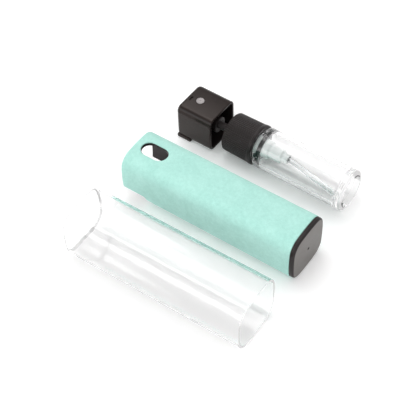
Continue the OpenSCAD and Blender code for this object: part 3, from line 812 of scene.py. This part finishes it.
collar_path = rounded([
    (COLLAR_ROOF, 3.5, 0), (COLLAR_TOP, 3.5, 0.2), (COLLAR_TOP, 9.3, 0.25),
    (COLLAR_SHOULDER, 9.9, 0)], 5)
collar_path += [(COLLAR_SHOULDER - k * (COLLAR_SHOULDER - RIBS_FOOT) / 24, 9.9 + 0.28 * k / 24)
                for k in range(1, 25)]
collar_path += rounded([
    (RIBS_FOOT, 10.19, 0), (SKIRT_FOOT, 10.19, 0.1), (SKIRT_FOOT, BEAD_RADIUS, 0.28),
    (COLLAR_FOOT, BEAD_RADIUS, 0.6), (COLLAR_FOOT, COLLAR_BORE, 0.4),
    (THREAD_START, COLLAR_BORE, 0)], 5)[1:]
collar_path += thread_rows(COLLAR_BORE)
collar_path += rounded([
    (THREAD_END, COLLAR_BORE, 0), (COLLAR_ROOF, COLLAR_BORE, 0.5), (COLLAR_ROOF, 3.5, 0)], 4)[:-1]
collar = make("screw_collar_ribbed", turned(collar_path, RIBS * 8, collar_reach, loop=True),
              SPRAYER, 40)
finish_piece(collar, "collar", BLACK_SATIN, "screw_collar")


# ---------------------------------------------------------------- spray head

HEAD_HALF = HEAD_SIDE / 2
head_line = Outline(HEAD_SIDE, HEAD_CORNER, HEAD_BOW)
head = make("spray_head_gloss", moved(lofted(head_line, rounded([
    (HEAD_TOP - HEAD_ROOF, HEAD_WALL + 1.6, 0), (HEAD_TOP - HEAD_ROOF, HEAD_WALL, 0.6),
    (HEAD_RIM, HEAD_WALL, 0.3), (HEAD_RIM, 0.0, 0.5), (HEAD_TOP, 0.0, 1.9), (HEAD_TOP, 3.2, 0)],
    8)), STAND), SPRAYER)
nozzle_place = Matrix.Translation((0, 0, NOZZLE_AT)) @ LAY
cut(head, moved(turned([
    (HEAD_HALF - 3.0, NOZZLE_POCKET), (HEAD_HALF - 0.25, NOZZLE_POCKET),
    (HEAD_HALF + 0.2, 2.35), (HEAD_HALF + 1, 2.35)], 64), nozzle_place), SPRAYER)

# The slot beside the nozzle
SLOT_BELOW, SLOT_ASIDE, SLOT_LENGTH, SLOT_WIDTH = 2.9, -1.3, 3.0, 1.0
slot_place = SPRAYER @ Matrix.Translation((0, 0, (HEAD_TOP - SLOT_BELOW) * MM)) @ Matrix.Rotation(
    math.pi / 2, 4, "Y")
slot = [(x, y + SLOT_ASIDE) for y, x in obround(SLOT_LENGTH, SLOT_WIDTH, 10)]
cut(head, prism(slot, HEAD_HALF - 0.6, HEAD_HALF + 1), slot_place)

# The stem's boss, the nozzle's boss and the two ears
add_shape(head, turned(rounded([
    (92.9, 0.01, 0), (92.9, 4.2, 0), (75.0, 4.2, 0.3), (75.0, 2.05, 0.3), (84.2, 2.05, 0),
    (84.2, 0.01, 0)], 4), 64), SPRAYER)
add_shape(head, moved(turned([
    (4.0, 0.01), (4.0, 3.3), (HEAD_HALF - 0.9, 3.3), (HEAD_HALF - 0.9, NOZZLE_POCKET),
    (HEAD_HALF - 3.6, NOZZLE_POCKET), (HEAD_HALF - 3.6, 0.01)], 64), nozzle_place), SPRAYER)
add_shape(head, block((-HEAD_HALF - 0.2, -10.4, HEAD_TOP - 8.1),
                      (-HEAD_HALF + 1.8, 10.4, HEAD_TOP - 0.1), 0.5), SPRAYER)
finish_piece(head, "head", BLACK_GLOSS, "spray_head")
look_by_zone(head, SPRAYER, [BLACK_SATIN], lambda centre, normal: (
    max(abs(centre.x), abs(centre.y)) < HEAD_HALF - 0.8 and centre.z < HEAD_TOP - 1.2))

# The insert, with a ring groove and a dished mouth
TIP, ORIFICE = HEAD_HALF + 0.1, 0.18
insert = make("nozzle_insert_disc", moved(turned(rounded([
    (TIP - 0.8, ORIFICE, 0), (TIP - 0.8, 1.4, 0.2), (TIP - 3.2, 1.4, 0), (TIP - 3.2, 2.0, 0.2),
    (TIP, 2.0, 0.25), (TIP, 1.52, 0.05), (TIP - 0.2, 1.5, 0.05), (TIP - 0.2, 1.22, 0.05),
    (TIP, 1.2, 0.05), (TIP, 0.55, 0.05), (TIP - 0.4, ORIFICE, 0)], 3), 72, loop=True),
    nozzle_place), SPRAYER, 50)
finish_piece(insert, "head", NOZZLE_GREY, "nozzle_insert")


# ---------------------------------------------------------------- CAD nodes that stay

for node, material in (("neck_gasket", SOFT_RING), ("stem_pin", PUMP_WHITE),
                       ("pump_piston", PUMP_WHITE), ("pump_spring", SPRING),
                       ("inlet_ball", BALL)):
    kept = frame["nodes"][node]
    kept.data.materials.clear()
    kept.data.materials.append(material)


# ---------------------------------------------------------------- floor, lights and camera

def floor():
    """A plain pale floor, with a faint glow of its own that lifts its shadows."""
    made, nodes, links, shader = surface("floor_white", (0.955, 0.95, 0.95), 0.8,
                                         Specular_IOR_Level=0.2)
    place = place_of(nodes, links)
    broad = grain(nodes, links, place, 12, 2.0)
    links.new(ramp(nodes, links, broad, [(0.3, (0.95, 0.945, 0.945)), (0.7, (0.96, 0.955, 0.955))]),
              shader.inputs["Base Color"])
    shader.inputs["Emission Color"].default_value = (1, 1, 1, 1)
    shader.inputs["Emission Strength"].default_value = 0.14
    mesh = bpy.data.meshes.new("floor")
    reach = 3.0
    mesh.from_pydata([(-reach, -reach, 0), (reach, -reach, 0), (reach, reach, 0), (-reach, reach, 0)],
                     [], [(0, 1, 2, 3)])
    mesh.materials.append(made)
    plane = bpy.data.objects.new("floor", mesh)
    bpy.context.collection.objects.link(plane)


# Each patch of light: slopes x/z and y/z of its middle, its half widths, and its strength
SKY, PATCH_EDGE = 0.85, 0.06
PATCHES = [
    ((-0.44, 0.24), (0.34, 0.34), 2.3),
    ((-1.5, -4.1), (2.0, 2.95), 1.9),
    ((-0.59, 0.70), (0.08, 0.08), 2.6),
]


def studio():
    """White surroundings with brighter soft patches."""
    world = bpy.data.worlds.new("studio")
    world.use_nodes = True
    nodes, links = world.node_tree.nodes, world.node_tree.links

    def maths(operation, first, second):
        node = nodes.new("ShaderNodeMath")
        node.operation = operation
        for socket, value in zip(node.inputs, (first, second)):
            if isinstance(value, float):
                socket.default_value = value
            else:
                links.new(value, socket)
        return node.outputs["Value"]

    direction = nodes.new("ShaderNodeTexCoord")
    parts = nodes.new("ShaderNodeSeparateXYZ")
    links.new(direction.outputs["Generated"], parts.inputs["Vector"])
    height = maths("MAXIMUM", parts.outputs["Z"], 0.02)
    strength = SKY
    for middle, half, extra in PATCHES:
        share = extra
        for axis, at, reach in (("X", middle[0], half[0]), ("Y", middle[1], half[1])):
            slope = maths("DIVIDE", parts.outputs[axis], height)
            off = maths("ABSOLUTE", maths("SUBTRACT", slope, at), 0.0)
            edge = nodes.new("ShaderNodeMapRange")
            edge.interpolation_type = "SMOOTHSTEP"
            edge.inputs["From Min"].default_value = reach - PATCH_EDGE
            edge.inputs["From Max"].default_value = reach + PATCH_EDGE
            edge.inputs["To Min"].default_value = 1.0
            edge.inputs["To Max"].default_value = 0.0
            links.new(off, edge.inputs["Value"])
            share = maths("MULTIPLY", edge.outputs["Result"], share)
        strength = maths("ADD", share, strength)
    links.new(strength, nodes["Background"].inputs["Strength"])
    nodes["Background"].inputs["Color"].default_value = (1, 1, 1, 1)
    bpy.context.scene.world = world


floor()
studio()
bpy.context.scene.view_settings.view_transform = "Standard"

AZIMUTH, ELEVATION, ROLL = math.radians(36.32), math.radians(50.78), -0.035
TARGET, DISTANCE, LENS, SENSOR = Vector((-0.00914, 0.00522, 0)), 0.5415, 98.65, 36
away = Vector((math.sin(AZIMUTH) * math.cos(ELEVATION), -math.cos(AZIMUTH) * math.cos(ELEVATION),
               math.sin(ELEVATION)))
level = Vector((math.cos(AZIMUTH), math.sin(AZIMUTH), 0))
upright = away.cross(level)
right = math.cos(ROLL) * level + math.sin(ROLL) * upright
above = -math.sin(ROLL) * level + math.cos(ROLL) * upright
lens = bpy.data.cameras.new("camera")
lens.lens = LENS
lens.sensor_width = SENSOR
camera = bpy.data.objects.new("camera", lens)
camera.matrix_world = (Matrix.Translation(TARGET + away * DISTANCE)
                       @ Matrix((right, above, away)).transposed().to_4x4())
bpy.context.collection.objects.link(camera)
bpy.context.scene.camera = camera
